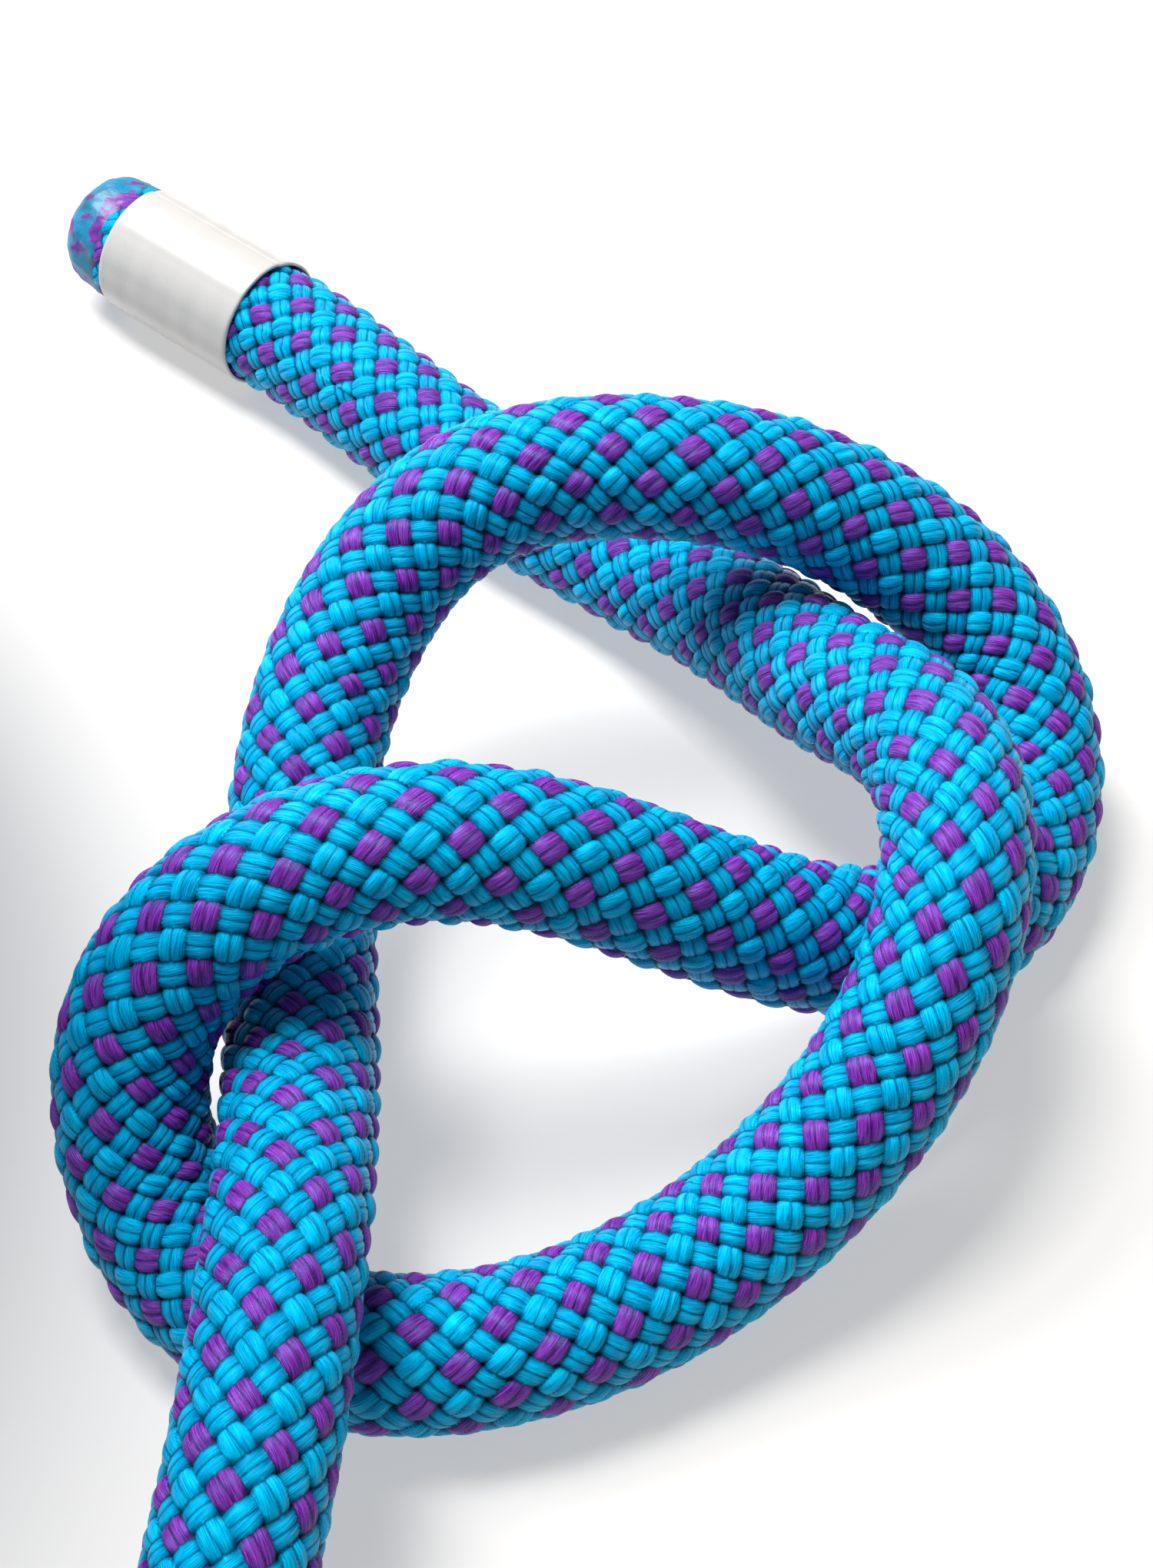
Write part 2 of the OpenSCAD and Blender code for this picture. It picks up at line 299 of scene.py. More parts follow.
def swept_mesh(name, line, first_cell, per_cell, height, uneven_mm, from_last=False):
    """A tube along the line whose skin stands proud by height(a, b), in millimetres.

    Every cell is per_cell quads long and wide, so its edges run through the mesh's corners.
    first_cell is the cell of the whole rope where the line begins, so that the weave runs on.
    """
    cells = round(evenly(line, LINE_STEP)[1] / CELL)
    line, length = evenly(line, count=cells * per_cell + 1)
    side, up = carried_frames(line, from_last)
    n, around = len(line), CARRIERS * per_cell
    i, k = np.arange(n)[:, None], np.arange(around + 1)[None]
    a = (k + i) / per_cell + first_cell
    b = (k - i) / per_cell - first_cell
    r = ROPE_R + height(a, b) * MM
    # Two slow ripples, one round the rope and one along it, so that no two cells look the same.
    drift = uneven_mm * np.sin(0.83 * a + 0.47 * b + 1) * np.sin(0.31 * a - 0.69 * b + 2) * MM
    slide = uneven_mm * np.sin(0.59 * a - 0.87 * b) * np.sin(0.77 * a + 0.41 * b + 4) * MM
    turn = 2 * np.pi * k / around + drift / ROPE_R
    spread = np.cos(turn)[..., None] * side[:, None] + np.sin(turn)[..., None] * up[:, None]
    way = unit(np.gradient(line, axis=0))
    verts = (line[:, None] + r[..., None] * spread + slide[..., None] * way[:, None])[:, :-1]
    i, k = np.meshgrid(np.arange(n - 1), np.arange(around), indexing="ij")
    m = (k + 1) % around
    quads = np.stack([i * around + k, i * around + m, (i + 1) * around + m, (i + 1) * around + k], -1)
    mesh = bpy.data.meshes.new(name)
    mesh.vertices.add(n * around)
    mesh.vertices.foreach_set("co", verts.reshape(-1).astype(np.float32))
    quads = quads.reshape(-1, 4)
    mesh.loops.add(quads.size)
    mesh.loops.foreach_set("vertex_index", quads.reshape(-1).astype(np.int32))
    mesh.polygons.add(len(quads))
    mesh.polygons.foreach_set("loop_start", np.arange(0, quads.size, 4, dtype=np.int32))
    mesh.update(calc_edges=True)
    mesh.validate()
    weave = mesh.uv_layers.new(name="weave")
    corner_i = np.stack([i, i, i + 1, i + 1], -1).reshape(-1)
    corner_k = np.stack([k, k + 1, k + 1, k], -1).reshape(-1)
    uv = np.stack([a[corner_i, corner_k], b[corner_i, corner_k]], -1)
    weave.uv.foreach_set("vector", uv.reshape(-1).astype(np.float32))
    bake = mesh.uv_layers.new(name="OFBake")
    bake.uv.foreach_set("vector", strip_uv(i, k, n - 1, around, length).reshape(-1))
    mesh.shade_smooth()
    return mesh, first_cell + cells


STRIP_MARGIN, MAP_MARGIN = 0.03, 0.005


def strip_uv(i, k, rings, around, length):
    """The skin unrolled and cut into strips that fill a square, one beside the other."""
    strips = max(1, round(math.sqrt(length / (2 * math.pi * ROPE_R))))
    per = math.ceil(rings / strips)
    strip = (i // per).reshape(-1, 1)
    along = (np.stack([i, i, i + 1, i + 1], -1).reshape(-1, 4) - strip * per) / per
    round_it = np.stack([k, k + 1, k + 1, k], -1).reshape(-1, 4) / around
    across = (strip + STRIP_MARGIN + (1 - 2 * STRIP_MARGIN) * round_it) / strips
    return np.stack([MAP_MARGIN + (1 - 2 * MAP_MARGIN) * along, across], -1).astype(np.float32)


def placed(name, mesh):
    piece = bpy.data.objects.new(name, mesh)
    bpy.context.scene.collection.objects.link(piece)
    return piece


FINE, UNEVEN_MM = (14), 0.16
knot_mesh, last_cell = swept_mesh("rope_knot", knot_line, 0, FINE, weave_height, UNEVEN_MM, from_last=True)
rope_knot = placed("rope_knot", knot_mesh)
print("knot sheath:", len(knot_mesh.polygons), "faces,", last_cell, "cells long")

# %% [markdown]
# ## The coil's skin
# Nobody looks at nine metres of coil as closely as at the knot. Its rings lie half a cell apart
# with twice as many sides as carriers, so every cell has one raised corner in its middle and
# four low ones round it: the least mesh that still gives each cell its pillow.

# %% The coil's sheath
PILLOW_MM = 0.16


def pillow_height(a, b):
    return -0.1 - PILLOW_MM * np.cos(2 * np.pi * a)


coil_mesh, _ = swept_mesh("rope_coil", coil_line, last_cell, 2, pillow_height, 0)
rope_coil = placed("rope_coil", coil_mesh)
print("coil sheath:", len(coil_mesh.polygons), "faces")

# %% [markdown]
# ## Turned pieces for the ends
# A rope is cut with a hot knife, so the nylon at its very end melts into a cap, and a wrap of
# bare film keeps the sheath from slipping. Both are turned shapes: a profile of distances
# along the end and radii, carried round it. The Screw modifier could turn them too, but only
# perfectly round. A little unevenness in the radius makes them look wrapped and melted instead
# of machined.

# %% Turning a profile
TURNED_SIDES = 128


def turned(name, profile, at, way, uneven, closed):
    """A turned piece from (along, radius) pairs in mm; uneven(along, turn) moves the radius."""
    around = TURNED_SIDES
    along, radius = np.array(profile, float).T
    turn = 2 * np.pi * np.arange(around) / around
    side = unit(np.cross(way, [0, 0, 1]))
    up = np.cross(side, way)
    r = radius[:, None] + uneven(along[:, None], turn[None]) * np.minimum(radius[:, None] / 3, 1)
    rim = np.cos(turn)[:, None] * side + np.sin(turn)[:, None] * up
    verts = at + MM * (along[:, None, None] * way + r[:, :, None] * rim[None])
    n = len(along)
    i, k = np.meshgrid(np.arange(n if closed else n - 1), np.arange(around), indexing="ij")
    j, m = (i + 1) % n, (k + 1) % around
    faces = np.stack([i * around + k, j * around + k, j * around + m, i * around + m], -1)
    mesh = bpy.data.meshes.new(name)
    mesh.from_pydata(verts.reshape(-1, 3).tolist(), [], faces.reshape(-1, 4).tolist())
    mesh.shade_smooth()
    return placed(name, mesh)


TAPE_TOP = 5.28
tape_rim = [(0.02, 5.02), (0, 5.12), (0.05, 5.23), (0.16, TAPE_TOP)]
tape_profile = tape_rim + [(x, TAPE_TOP) for x in np.arange(0.4, TAPE_LEN / MM - 0.3, 0.2)]
tape_profile += [(TAPE_LEN / MM - x, r) for x, r in reversed(tape_rim)]
LAP_AT, LAP_FADE, LAP_MM = 1.25, 0.9, 0.14


def wrapped(along, turn):
    """The film over the braid: faint yarns, soft wrinkles, and the step of its overlap."""
    yarns = 0.018 * np.cos(6 * turn + along * 1.28) * np.cos(6 * turn - along * 1.28)
    wrinkles = 0.02 * np.sin(2 * turn + 0.9 * along) * np.sin(along * 0.8 + 1)
    past = np.mod(turn - LAP_AT, 2 * np.pi)
    lap = 0.5 + 0.5 * np.tanh((past - 0.02) * 60)
    lap = lap * np.clip(1 - past / LAP_FADE, 0, 1) ** 0.4
    return yarns + wrinkles + LAP_MM * lap


# The tip's profile ends on the axis, so it closes itself.
TIP_H = CAP_LEN / MM
TIP_FLAT, TIP_ROUND = 2.5, 2.4
tip_profile = [(-0.3, 4.6), (-0.12, 4.86), (0.15, 4.96), (0.6, 4.94), (1.0, 4.9)]
for q in np.radians(np.linspace(0, 90, 14)):
    tip_profile.append((TIP_H - TIP_ROUND + TIP_ROUND * math.sin(q), TIP_FLAT + TIP_ROUND * math.cos(q)))
tip_profile += [(TIP_H - 0.03, r) for r in (2.1, 1.6, 1.1, 0.6, 0.2)] + [(TIP_H - 0.05, 0.001)]


def melted(along, turn):
    """Lumps that fade towards the top, where the melt ran smooth."""
    lumps = 0.07 * np.sin(12 * turn + along) + 0.06 * np.sin(5 * turn + 2 * along + 1)
    return (lumps + 0.05 * np.sin(23 * turn - 3 * along)) * np.clip(1.2 - along / 5, 0, 1) - 0.1


ends = {}
for end, at, way in (("knot", knot_end, knot_way), ("coil", tail_end * MM + KNOT_AT, tail_way)):
    tape_at = at - STUB_LEN * way
    ends[end] = (
        turned(end + "_end_film", tape_profile, tape_at, way, wrapped, closed=True),
        turned(end + "_end_cap", tip_profile, at, way, melted, closed=False),
    )
print("ends:", [piece.name for pair in ends.values() for piece in pair])

# %% [markdown]
# ## The straps round the coil
# Three bands of hook-and-loop webbing hold the coil together. Each band follows a rounded
# rectangle round the turns, and its end laps over its own beginning on top of the coil, where
# a hand can reach it. The webbing's edges are thicker than its middle, as woven selvedges are.
# A bevelled curve could carry the band. Mesh code also gives it a map in millimetres, which the
# webbing's ribs and stitches are drawn in.

# %% The straps
STRAP_W, STRAP_T, STRAP_GAP, STRAP_CORNER = 16, 1.2, 0.3, 4
OUTER_R = COIL_D / 2 + ROPE_MM / 2
INNER_R = COIL_D / 2 - (COLS - 1) * PITCH - ROPE_MM / 2
COIL_H = (ROWS - 1) * PITCH + ROPE_MM


def band_line():
    """The middle of the band as (out, up) points in mm, once round and 26 mm on over the top."""
    x0, x1 = INNER_R - STRAP_GAP - STRAP_T / 2, OUTER_R + STRAP_GAP + STRAP_T / 2
    z0, z1 = STRAP_T / 2, STRAP_T * 1.5 + COIL_H + 2 * STRAP_GAP
    r = STRAP_CORNER + STRAP_T / 2
    corners = [(x1 - r, z1 - r, 90), (x1 - r, z0 + r, 0), (x0 + r, z0 + r, -90), (x0 + r, z1 - r, -180)]
    points = [(x0 + 12, z1)]
    for cx, cz, first in corners:
        q = np.radians(np.linspace(first, first - 90, 13))
        points += list(zip(cx + r * np.cos(q), cz + r * np.sin(q)))
    points += [(x0 + 8, z1 + 0.15), (x0 + 11.5, z1 + 1.0), (x0 + 14, z1 + 1.22), (x0 + 38, z1 + 1.22)]
    return np.array(points)


BAND_STEP, BAND_POINTS = 0.5, 33
BAND_HALF, SELVEDGE, SELVEDGE_FROM = 0.46, 0.1, 0.86


def strap_mesh(name, degrees):
    """The band swept round its line, at so many degrees round the coil."""
    flat = band_line()
    far = np.concatenate([[0], np.cumsum(np.linalg.norm(np.diff(flat, axis=0), axis=1))])
    at = np.arange(0, far[-1], BAND_STEP)
    flat = np.stack([np.interp(at, far, flat[:, k]) for k in (0, 1)], 1)
    way = unit(np.gradient(flat, axis=0))
    out = np.stack([-way[:, 1], way[:, 0]], 1)
    across = np.linspace(-1, 1, BAND_POINTS)
    across = np.concatenate([across, across[::-1]])
    face = np.repeat([1.0, -1.0], BAND_POINTS)
    edge = np.sqrt(np.clip(1 - np.abs(across) ** 16, 0, 1))
    thick = face * edge * (BAND_HALF + SELVEDGE * (np.abs(across) > SELVEDGE_FROM))
    p = flat[:, None] + out[:, None] * thick[None, :, None]
    turn = math.radians(degrees)
    c, s = math.cos(turn), math.sin(turn)
    y = across[None] * STRAP_W / 2
    x = p[:, :, 0]
    place = np.stack([COIL_AT[0] + x * c - y * s, COIL_AT[1] + x * s + y * c, p[:, :, 1]], -1)
    n, m = len(flat), len(across)
    i, k = np.meshgrid(np.arange(n - 1), np.arange(m), indexing="ij")
    l = (k + 1) % m
    faces = np.stack([i * m + k, i * m + l, (i + 1) * m + l, (i + 1) * m + k], -1).reshape(-1, 4).tolist()
    faces += [list(range(m)), [(n - 1) * m + v for v in reversed(range(m))]]
    mesh = bpy.data.meshes.new(name)
    mesh.from_pydata((place * MM + KNOT_AT).reshape(-1, 3).tolist(), [], faces)
    uv = mesh.uv_layers.new(name="webbing")
    loop_vertex = np.zeros(len(mesh.loops), np.int32)
    mesh.loops.foreach_get("vertex_index", loop_vertex)
    band_uv = np.stack([at[loop_vertex // m], across[loop_vertex % m] * STRAP_W / 2], 1)
    uv.uv.foreach_set("vector", band_uv.astype(np.float32).reshape(-1))
    mesh.shade_smooth()
    return mesh


straps = []
for n, degrees in enumerate((60, 180, 300), start=1):
    name = f"strap_band_{n}"
    straps.append(placed(name, strap_mesh(name, degrees)))
print("straps:", len(straps))

# %% [markdown]
# ## Materials by arithmetic
# The sheath's material repeats the weave formula with math nodes, so the colour of every
# strand lands exactly on its relief. Small helpers keep such a node tree readable: each one
# adds a node and returns its output.

# %% Node helpers
def srgb(code):
    """A hex colour as the linear values that shaders use."""
    parts = [int(code[n:n + 2], 16) / 255 for n in (1, 3, 5)]
    return [p / 12.92 if p <= 0.04045 else ((p + 0.055) / 1.055) ** 2.4 for p in parts] + [1]


def new_material(name):
    material = bpy.data.materials.new(name)
    material.use_nodes = True
    tree = material.node_tree
    return material, tree, tree.nodes["Principled BSDF"]


def feed(tree, value, socket):
    if hasattr(value, "links"):
        tree.links.new(value, socket)
    else:
        socket.default_value = value


def calc(tree, operation, *values):
    """One math node; the values are sockets or numbers."""
    node = tree.nodes.new("ShaderNodeMath")
    node.operation = operation
    for socket, value in zip(node.inputs, values):
        feed(tree, value, socket)
    return node.outputs[0]


def mixed(tree, factor, a, b):
    node = tree.nodes.new("ShaderNodeMix")
    node.data_type = "RGBA"
    for socket, value in ((node.inputs[0], factor), (node.inputs[6], a), (node.inputs[7], b)):
        feed(tree, value, socket)
    return node.outputs[2]


def noise(tree, place, scale, detail=2.0, rough=0.5):
    node = tree.nodes.new("ShaderNodeTexNoise")
    node.inputs["Scale"].default_value = scale
    node.inputs["Detail"].default_value = detail
    node.inputs["Roughness"].default_value = rough
    feed(tree, place, node.inputs["Vector"])
    return node.outputs["Fac"]


def vector(tree, *values):
    node = tree.nodes.new("ShaderNodeCombineXYZ")
    for socket, value in zip(node.inputs, values):
        feed(tree, value, socket)
    return node.outputs[0]


def parts_of(tree, value):
    node = tree.nodes.new("ShaderNodeSeparateXYZ")
    feed(tree, value, node.inputs[0])
    return node.outputs


def uv_place(tree, name):
    node = tree.nodes.new("ShaderNodeUVMap")
    node.uv_map = name
    return node.outputs[0]


def object_place(tree):
    return tree.nodes.new("ShaderNodeTexCoord").outputs["Object"]


def bumped(tree, height, distance, strength=1.0, normal=None):
    node = tree.nodes.new("ShaderNodeBump")
    node.inputs["Strength"].default_value = strength
    node.inputs["Distance"].default_value = distance
    feed(tree, height, node.inputs["Height"])
    if normal is not None:
        feed(tree, normal, node.inputs["Normal"])
    return node.outputs[0]


def ranged(tree, value, low, high, to_low=0.0, to_high=1.0):
    node = tree.nodes.new("ShaderNodeMapRange")
    for socket, v in zip(node.inputs, (value, low, high, to_low, to_high)):
        feed(tree, v, socket)
    return node.outputs[0]


# %% [markdown]
# ## The sheath's material
# Polyamide yarn is glossy filament: hundreds of parallel fibres that catch the light along
# their length. Fine streaks that follow each yarn give that silk: in the bump, and in the
# colour as painted sheen on the brighter fibres and painted shade between them. Where a yarn
# dives under its neighbour, the height darkens the colour as painted shade; painted shade
# also fills each strand's crease, the grooves where two strands meet and the holes where four do.
# A painted picture of a braid would blur up close and slide off the relief at a bend.

# %% Woven yarn
# Each yarn colour comes three ways: its own, a lighter copy for painted highlights and sheen, and a darker
# copy for painted shade that also serves a random darker tone.
TEAL, TEAL_HIGHLIGHT, TEAL_SHADE_AND_DARK = "#009EDA", "#00E0FF", "#001450"
PURPLE, PURPLE_HIGHLIGHT, PURPLE_SHADE_AND_DARK = "#66188E", "#AC58E0", "#100230"
# The colour of painted shade in the holes of the weave; the spread below widens that shade beyond the hole
# itself.
CREVICE_SHADE = "#01142A"
HOLE_SHADE_SPREAD = 1.6
# The fibres are noise stretched along the yarn. OTHER_SET keeps the two sets from matching.
FIBRES_ACROSS, FIBRES_LEAN, FIBRES_ALONG, OTHER_SET = 19.0, 2.2, 0.7, 977.0


def shader_wave(tree, number, other):
    lean = calc(tree, "COSINE", calc(tree, "MULTIPLY", number, math.pi))
    w = calc(tree, "MULTIPLY", lean, calc(tree, "SINE", calc(tree, "MULTIPLY", other, math.pi)))
    size = calc(tree, "POWER", calc(tree, "ABSOLUTE", w), FLAT_TOP)
    return calc(tree, "MULTIPLY", calc(tree, "SIGN", w), size)


def squared(tree, value):
    return calc(tree, "POWER", calc(tree, "ABSOLUTE", value), 2.0)


def shader_dome(tree, across):
    u = calc(tree, "ABSOLUTE", calc(tree, "MULTIPLY_ADD", calc(tree, "FRACT", across), 2.0, -1.0))
    below = calc(tree, "SUBTRACT", 1.0, calc(tree, "POWER", u, DOME_POWER))
    dome = calc(tree, "SQRT", calc(tree, "MAXIMUM", below, 0.0))
    narrow = calc(tree, "POWER", calc(tree, "DIVIDE", u, 2 * CREASE_WIDTH), 2.0)
    crease = calc(tree, "POWER", math.e, calc(tree, "MULTIPLY", narrow, -1.0))
    return dome, crease


def turned_across(tree, on_top):
    """Which way is across the fibres: the yarns' own sheen direction, from the weave's map."""
    along = tree.nodes.new("ShaderNodeTangent")
    along.direction_type = "UV_MAP"
    along.uv_map = "weave"
    cross = tree.nodes.new("ShaderNodeVectorMath")
    cross.operation = "CROSS_PRODUCT"
    feed(tree, tree.nodes.new("ShaderNodeNewGeometry").outputs["Normal"], cross.inputs[0])
    feed(tree, along.outputs[0], cross.inputs[1])
    pick = tree.nodes.new("ShaderNodeMix")
    pick.data_type = "VECTOR"
    for n, value in ((0, on_top), (4, cross.outputs[0]), (5, along.outputs[0])):
        feed(tree, value, pick.inputs[n])
    return pick.outputs[1]


def woven_material(name, relief):
    """The braid's colours, with painted sheen and painted shade; relief is how much of its height, from 0 to
    1, is left to the bump.
    """
    material, tree, shader = new_material(name)
    a, b, _ = parts_of(tree, uv_place(tree, "weave"))
    row, col = calc(tree, "FLOOR", a), calc(tree, "FLOOR", b)
    heights, creases = [], []
    for wave_number, wave_along, across, n in ((row, b, a, 0), (col, a, b, 1)):
        wave = calc(tree, "MULTIPLY", shader_wave(tree, wave_number, wave_along), WAVE_MM[n] * (1, -1)[n])
        dome, crease = shader_dome(tree, across)
        whole = calc(tree, "MULTIPLY_ADD", crease, -CREASE_DEPTH, dome)
        strand = calc(tree, "MULTIPLY_ADD", whole, YARN_MM[n], wave)
        heights.append(calc(tree, "ADD", strand, (PROUD_MM, 0.0)[n]))
        creases.append(crease)
    tracer = calc(tree, "LESS_THAN", calc(tree, "FLOORED_MODULO", row, 2.0), 0.5)
    one, two = calc(tree, "MULTIPLY_ADD", tracer, -TRACER_LOW_MM, heights[0]), heights[1]
    on_top = calc(tree, "GREATER_THAN", one, two)
    height = calc(tree, "MAXIMUM", one, two)

    def either(first, second):
        return calc(tree, "ADD", calc(tree, "MULTIPLY", on_top, first),
                    calc(tree, "MULTIPLY", calc(tree, "SUBTRACT", 1.0, on_top), second))

    across, along = either(a, b), either(b, a)
    yarn = calc(tree, "ADD", calc(tree, "FLOOR", calc(tree, "MULTIPLY", across, 2.0)),
                calc(tree, "MULTIPLY", on_top, OTHER_SET))
    slant = calc(tree, "ADD", calc(tree, "MULTIPLY", across, FIBRES_ACROSS),
                 calc(tree, "MULTIPLY", along, FIBRES_LEAN))
    run = vector(tree, slant, calc(tree, "MULTIPLY", along, FIBRES_ALONG), calc(tree, "MULTIPLY", yarn, 3.7))
    fibres = noise(tree, run, 1.9, 4.0, 0.6)
    spread = [calc(tree, "MULTIPLY", v, size) for v, size in ((across, 1.3), (along, 0.8), (yarn, 1.9))]
    cloudy = noise(tree, vector(tree, *spread), 1.0)
    apart = calc(tree, "DIVIDE", calc(tree, "SUBTRACT", one, two), SHADE_WIDTH_MM)
    groove = calc(tree, "MULTIPLY", squared(tree, apart), -1.0)
    groove = calc(tree, "POWER", math.e, groove)
    sines = [calc(tree, "SINE", calc(tree, "MULTIPLY", v, math.pi)) for v in (a, b)]
    corner = calc(tree, "ADD", *[squared(tree, v) for v in sines])
    corner = calc(tree, "DIVIDE", corner, -HOLE_SIZE * HOLE_SHADE_SPREAD)
    hole = calc(tree, "POWER", math.e, corner)
    dyed = calc(tree, "MULTIPLY", on_top, tracer)
    plain = mixed(tree, dyed, srgb(TEAL), srgb(PURPLE))
    light = mixed(tree, dyed, srgb(TEAL_HIGHLIGHT), srgb(PURPLE_HIGHLIGHT))
    # The darker copy: painted shade, and also a random darker tone along the yarns.
    shade_and_dark = mixed(tree, dyed, srgb(TEAL_SHADE_AND_DARK), srgb(PURPLE_SHADE_AND_DARK))
    # Painted sheen: the brighter fibres take the lighter colour.
    colour = mixed(tree, ranged(tree, fibres, 0.42, 0.72), plain, light)
    # Painted shade between the fibres.
    colour = mixed(tree, ranged(tree, fibres, 0.47, 0.3, 0.0, 0.5), colour, shade_and_dark)
    # A random darker tone here and there along the yarns; this one is no shade.
    colour = mixed(tree, ranged(tree, cloudy, 0.35, 0.65, 0.26, 0.0), colour, shade_and_dark)
    # Painted shade in the crease between a strand's two yarns.
    colour = mixed(tree, calc(tree, "MULTIPLY", either(creases[0], creases[1]), 0.6), colour, shade_and_dark)
    # Painted shade where a yarn dives under its neighbour: the lower the weave, the darker.
    colour = mixed(tree, ranged(tree, height, 0.44, 0.1, 0.0, 0.97), colour, shade_and_dark)
    # Painted shade along the groove where two strands meet.
    colour = mixed(tree, calc(tree, "MULTIPLY", groove, 0.66), colour, shade_and_dark)
    # Painted shade in the small hole where four strands meet.
    colour = mixed(tree, calc(tree, "MULTIPLY", hole, 0.65), colour, srgb(CREVICE_SHADE))
    feed(tree, colour, shader.inputs["Base Color"])
    feed(tree, ranged(tree, fibres, 0.3, 0.7, 0.42, 0.3), shader.inputs["Roughness"])
    shader.inputs["Specular IOR Level"].default_value = 0.36
    shader.inputs["Specular Tint"].default_value = (0.02, 0.72, 1, 1)
    shader.inputs["Anisotropic"].default_value = 0.7
    feed(tree, turned_across(tree, on_top), shader.inputs["Tangent"])
    normal = None
    if relief:
        normal = bumped(tree, height, relief * MM, 1.0)
    feed(tree, bumped(tree, fibres, 0.09 * MM, 0.8, normal), shader.inputs["Normal"])
    return material


sheath_yarn = woven_material("sheath_yarn", 0)
coil_yarn = woven_material("sheath_yarn_coil", 0.7)
print("woven material:", len(sheath_yarn.node_tree.nodes), "nodes")

# %% [markdown]
# ## Film, melted nylon, core yarn and webbing
# Film is thin glossy plastic, so it gets a low roughness and a clear coat. Melted nylon keeps
# patches of both yarn colours and turns darker where it was scorched. Noise squeezed into a
# narrow range makes patches with clear borders. The straps are woven webbing, drawn with two
# crossing ripples in the band's own coordinates, with a seam of stitches along each edge.
# The ripples also shade the colour: painted shade in their hollows, painted highlight on their tops.

# %% The other materials
def film_material():
    material, tree, shader = new_material("end_tape_film")
    place = object_place(tree)
    shader.inputs["Base Color"].default_value = srgb("#B8B5B1")
    feed(tree, ranged(tree, noise(tree, place, 260), 0.3, 0.7, 0.22, 0.34), shader.inputs["Roughness"])
    shader.inputs["Coat Weight"].default_value = 0.35
    shader.inputs["Coat Roughness"].default_value = 0.12
    feed(tree, bumped(tree, noise(tree, place, 420, 3.0), 0.05 * MM, 0.5), shader.inputs["Normal"])
    return material


def melt_material():
    material, tree, shader = new_material("fused_tip")
    place = object_place(tree)
    patches = ranged(tree, noise(tree, place, 520, 2.0), 0.52, 0.58)
    colour = mixed(tree, patches, srgb("#087A9E"), srgb("#6A2488"))
    scorched = ranged(tree, noise(tree, place, 300, 3.0), 0.45, 0.7, 0.0, 0.6)
    colour = mixed(tree, scorched, colour, srgb("#12333F"))
    feed(tree, colour, shader.inputs["Base Color"])
    shader.inputs["Roughness"].default_value = 0.46
    feed(tree, bumped(tree, noise(tree, place, 700, 3.0), 0.25 * MM, 0.8), shader.inputs["Normal"])
    return material


def core_material():
    material, tree, shader = new_material("core_yarn")
    place = object_place(tree)
    colour = mixed(tree, noise(tree, place, 900), srgb("#F1F0EA"), srgb("#DAD8CE"))
    feed(tree, colour, shader.inputs["Base Color"])
    shader.inputs["Roughness"].default_value = 0.55
    shader.inputs["Sheen Weight"].default_value = 0.2
    feed(tree, bumped(tree, noise(tree, place, 1500), 0.1 * MM, 0.6), shader.inputs["Normal"])
    return material


STITCH_AT_MM, STITCH_HALF_MM, STITCH_STEP_MM = 5.9, 0.28, 2.6
WARP_MM, WEFT_MM = 1.0, 0.9


def webbing_material():
    material, tree, shader = new_material("strap_webbing")
    along, across, _ = parts_of(tree, uv_place(tree, "webbing"))
    warp = calc(tree, "SINE", calc(tree, "MULTIPLY", across, 2 * math.pi / WARP_MM))
    shift = calc(tree, "MULTIPLY", calc(tree, "SIGN", warp), math.pi / 2)
    weft = calc(tree, "SINE", calc(tree, "ADD", calc(tree, "MULTIPLY", along, 2 * math.pi / WEFT_MM), shift))
    ribs = calc(tree, "ADD", calc(tree, "ABSOLUTE", warp), calc(tree, "MULTIPLY", weft, 0.5))
    fuzz = noise(tree, vector(tree, along, across, 0.0), 3.0, 4.0)
    # Painted shade and highlight: darker in the hollows of the weave, lighter on its ribs.
    colour = mixed(tree, ranged(tree, ribs, -0.2, 1.2), srgb("#101214"), srgb("#34383C"))
    colour = mixed(tree, ranged(tree, fuzz, 0.5, 0.7, 0.0, 0.4), colour, srgb("#4A4F54"))
    off_seam = calc(tree, "SUBTRACT", calc(tree, "ABSOLUTE", across), STITCH_AT_MM)
    stitch = calc(tree, "LESS_THAN", calc(tree, "ABSOLUTE", off_seam), STITCH_HALF_MM)
    on_stitch = calc(tree, "FRACT", calc(tree, "DIVIDE", along, STITCH_STEP_MM))
    dashes = calc(tree, "GREATER_THAN", on_stitch, 0.22)
    sewn = calc(tree, "MULTIPLY", stitch, dashes)
    colour = mixed(tree, sewn, colour, srgb("#7E878E"))
    feed(tree, colour, shader.inputs["Base Color"])
    shader.inputs["Roughness"].default_value = 0.62
    shader.inputs["Sheen Weight"].default_value = 0.25
    height = calc(tree, "ADD", ribs, calc(tree, "MULTIPLY", sewn, 1.2))
    feed(tree, bumped(tree, height, 0.22 * MM, 0.8), shader.inputs["Normal"])
    return material


film, melt, core_yarn, webbing = film_material(), melt_material(), core_material(), webbing_material()
print("materials:", [m.name for m in (sheath_yarn, coil_yarn, film, melt, core_yarn, webbing)])

# %% [markdown]
# ## Dressing the solid model
# Every visible piece takes its material, hides the solids it stands for, and rides on the
# rope's one body. The white core strands stay as they were built: they are only seen where
# the rope is cut open.

# %% Pieces and bodies
def dressed(piece, material, slot, *nodes):
    piece.data.materials.clear()
    piece.data.materials.append(material)
    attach(piece, "root")
    if nodes:
        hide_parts(*nodes)


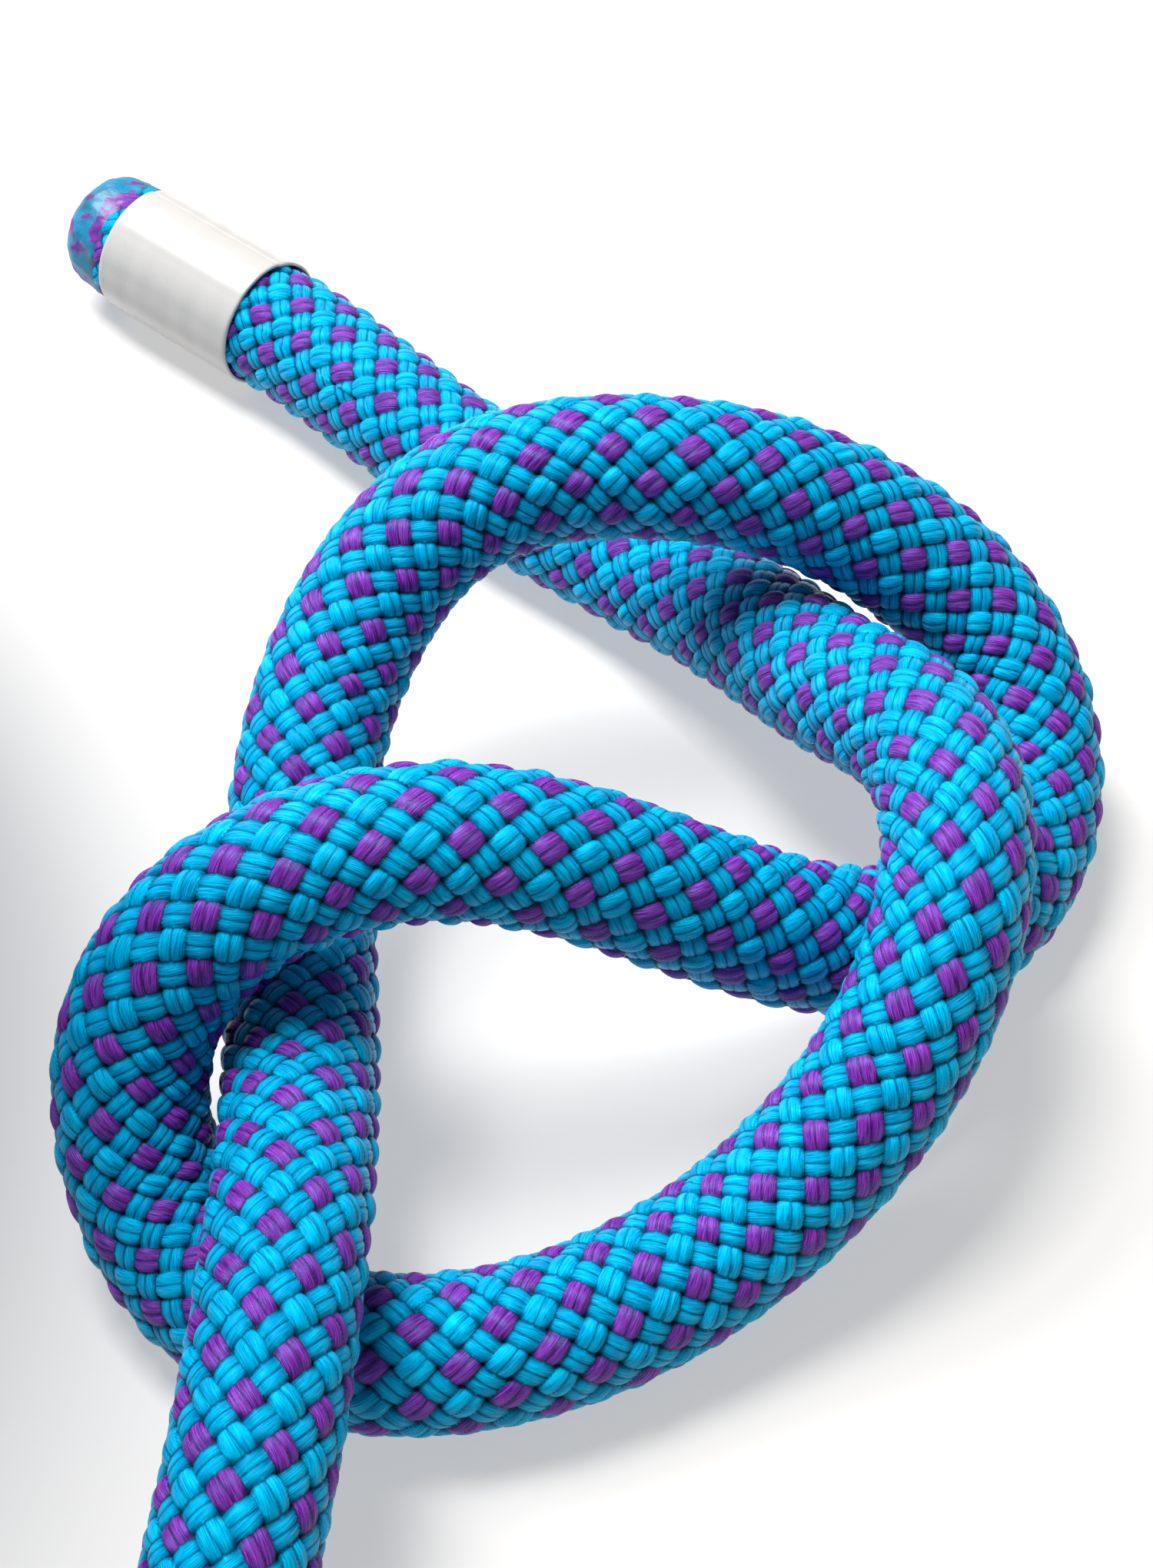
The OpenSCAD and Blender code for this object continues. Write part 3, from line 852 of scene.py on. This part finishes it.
dressed(rope_knot, sheath_yarn, "sheath_yarn", "sheath")
dressed(rope_coil, coil_yarn, "sheath_yarn", "coil_turns", "coil_filling")
for end, (film_piece, cap_piece) in ends.items():
    dressed(film_piece, film, "end_tape", end + "_end_tape")
    dressed(cap_piece, melt, "fused_tip", end + "_end_tip")
for n, band in enumerate(straps):
    dressed(band, webbing, "strap_webbing", f"strap_{n + 1}")
cores = [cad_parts[f"core_strand_{n}"] for n in range(1, 8)]
for strand in cores:
    strand.data.materials.clear()
    strand.data.materials.append(core_yarn)
print("dressed:", len(straps) + 2 * len(ends) + 2, "pieces and", len(cores), "core strands")

# %% [markdown]
# ## The rope in two pieces
# The knotted stretch and the coil are one rope, swept as two pieces that meet where the rope
# reaches the coil. The first is loose on the floor; the second is put away in turns. Both ends
# are bare: nothing is spliced or tied to them.

# %% [markdown]
# ## Table and light
# A plain pale surface and two soft lamps: the rope's shadow stays short and soft, and the
# silk of the yarn still gets a direction to shine in. Both lamps hang behind and to the left,
# one halfway up, which rakes across the yarns, and one nearly overhead, which lights the top
# of every strand. An even sky and a painted glow of the surface itself, though it is no lamp,
# keep the shadows pale.

# %% Stage
FLOOR_HALF = 2.0
FLOOR_Z = -0.0002
FLOOR_GLOW = 0.47
SKY_STRENGTH = 0.2
LAMPS_AIM = (0.085, 0.01, 0.01)

floor_mesh = bpy.data.meshes.new("floor")
corners = [(x * FLOOR_HALF, y * FLOOR_HALF, FLOOR_Z) for x, y in ((-1, -1), (1, -1), (1, 1), (-1, 1))]
floor_mesh.from_pydata(corners, [], [(0, 1, 2, 3)])
floor = placed("floor", floor_mesh)
floor_material, _, floor_shader = new_material("pale_floor")
floor_shader.inputs["Base Color"].default_value = srgb("#A8A5A2")
floor_shader.inputs["Roughness"].default_value = 0.7
floor_shader.inputs["Specular IOR Level"].default_value = 0.2
# Painted glow: the floor emits light though it is no lamp, which lifts its shadows.
floor_shader.inputs["Emission Color"].default_value = (1, 1, 1, 1)
floor_shader.inputs["Emission Strength"].default_value = FLOOR_GLOW
floor_mesh.materials.append(floor_material)


def lamp(name, at, size, watts):
    """A square white lamp, size in metres, turned towards the knot."""
    data = bpy.data.lights.new(name, "AREA")
    data.shape = "SQUARE"
    data.size = size
    data.energy = watts
    light = bpy.data.objects.new(name, data)
    bpy.context.scene.collection.objects.link(light)
    d = np.array(at) - np.array(LAMPS_AIM)
    light.location = at
    light.rotation_euler = (math.atan2(math.hypot(d[0], d[1]), d[2]), 0, math.atan2(d[0], -d[1]))
    return light


lamps = [lamp("big_lamp", (-0.28, 0.36, 0.63), 0.28, 6.5), lamp("top_lamp", (-0.09, 0.15, 0.77), 0.26, 7.3)]

world = bpy.data.worlds.new("soft_sky")
bpy.context.scene.world = world
world.use_nodes = True
sky = world.node_tree.nodes["Background"]
sky.inputs["Color"].default_value = (1, 1, 1, 1)
sky.inputs["Strength"].default_value = SKY_STRENGTH
bpy.context.scene.view_settings.view_transform = "Standard"
bpy.context.scene.view_settings.look = "None"
print("lit by", [l.name for l in lamps])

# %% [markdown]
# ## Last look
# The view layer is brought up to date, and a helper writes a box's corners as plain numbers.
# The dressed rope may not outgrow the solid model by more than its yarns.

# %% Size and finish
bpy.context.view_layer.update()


def plain(box):
    return [[float(v) for v in corner] for corner in box]
